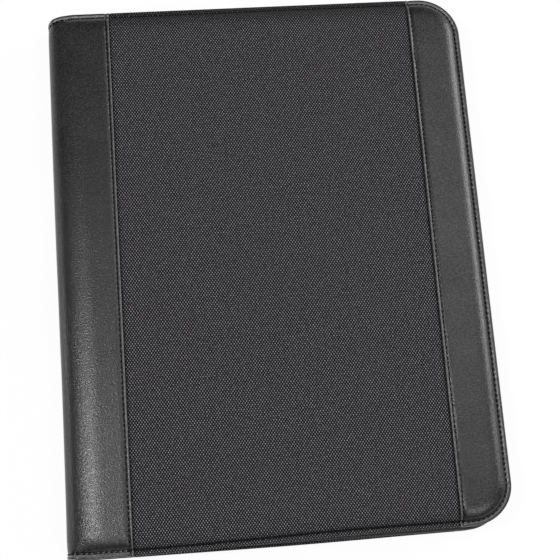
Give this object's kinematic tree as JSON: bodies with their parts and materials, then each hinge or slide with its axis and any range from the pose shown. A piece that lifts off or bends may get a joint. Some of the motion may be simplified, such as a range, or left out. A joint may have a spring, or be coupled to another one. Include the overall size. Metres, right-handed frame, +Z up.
{
  "type": "conference folder",
  "caption": "Padded A4 conference folder that opens like a book, with a woven front panel between leather-look bands, pockets, a pen loop and a writing pad in a sleeve.",
  "frame": {"origin": "middle of the closed folder's footprint, at the height of the surface it lies on", "axes": "+X from the spine to the free edge, +Y up the page, +Z up from the back cover to the front cover"},
  "size_m": [0.248, 0.32, 0.026],
  "materials": {
    "leather": "black leather-look, fine grain, semi-gloss",
    "woven_fabric": "black plain weave of coarse yarns, slight sheen",
    "padding": "cream foam",
    "board": "grey-brown board",
    "lining": "black fine lining cloth",
    "inner_leather": "black leather-look, matt",
    "elastic": "black ribbed elastic",
    "clear_film": "clear soft film",
    "paper": "white ruled paper",
    "pad_card": "grey board",
    "binding_tape": "black binding tape"
  },
  "bodies": {
    "back_cover": {"back_spine_band": "leather", "back_fabric_panel": "woven_fabric", "back_edge_band": "leather", "back_padding": "padding", "back_board": "board", "back_lining": "lining", "back_gutter_lining": "inner_leather", "pad_sleeve": "inner_leather", "pen_loop": "elastic"},
    "spine": {"spine_leather": "leather", "spine_padding": "padding", "spine_stiffener": "board", "spine_lining": "inner_leather"},
    "front_cover": {"front_spine_band": "leather", "front_fabric_panel": "woven_fabric", "front_edge_band": "leather", "front_padding": "padding", "front_board": "board", "front_lining": "lining", "front_gutter_lining": "inner_leather", "document_pocket": "inner_leather", "card_pocket_1": "inner_leather", "card_pocket_2": "inner_leather", "card_pocket_3": "inner_leather", "id_window_frame": "inner_leather", "id_window": "clear_film"},
    "writing_pad": {"pad_sheets": "paper", "pad_backing_card": "pad_card", "pad_binding": "binding_tape"}
  },
  "joints": [
    {"name": "spine_fold", "type": "hinge", "parent": "back_cover", "child": "spine", "pos_m": [-0.12078, 0, 0.00322], "axis": [0, -1, 0], "range_deg": [0, 90]},
    {"name": "cover_fold", "type": "hinge", "parent": "spine", "child": "front_cover", "pos_m": [-0.12078, 0, 0.02278], "axis": [0, -1, 0], "range_deg": [0, 90]},
    {"name": "pad_slide", "type": "slide", "parent": "back_cover", "child": "writing_pad", "axis": [0, 1, 0], "range_m": [0, 0.31]}
  ]
}
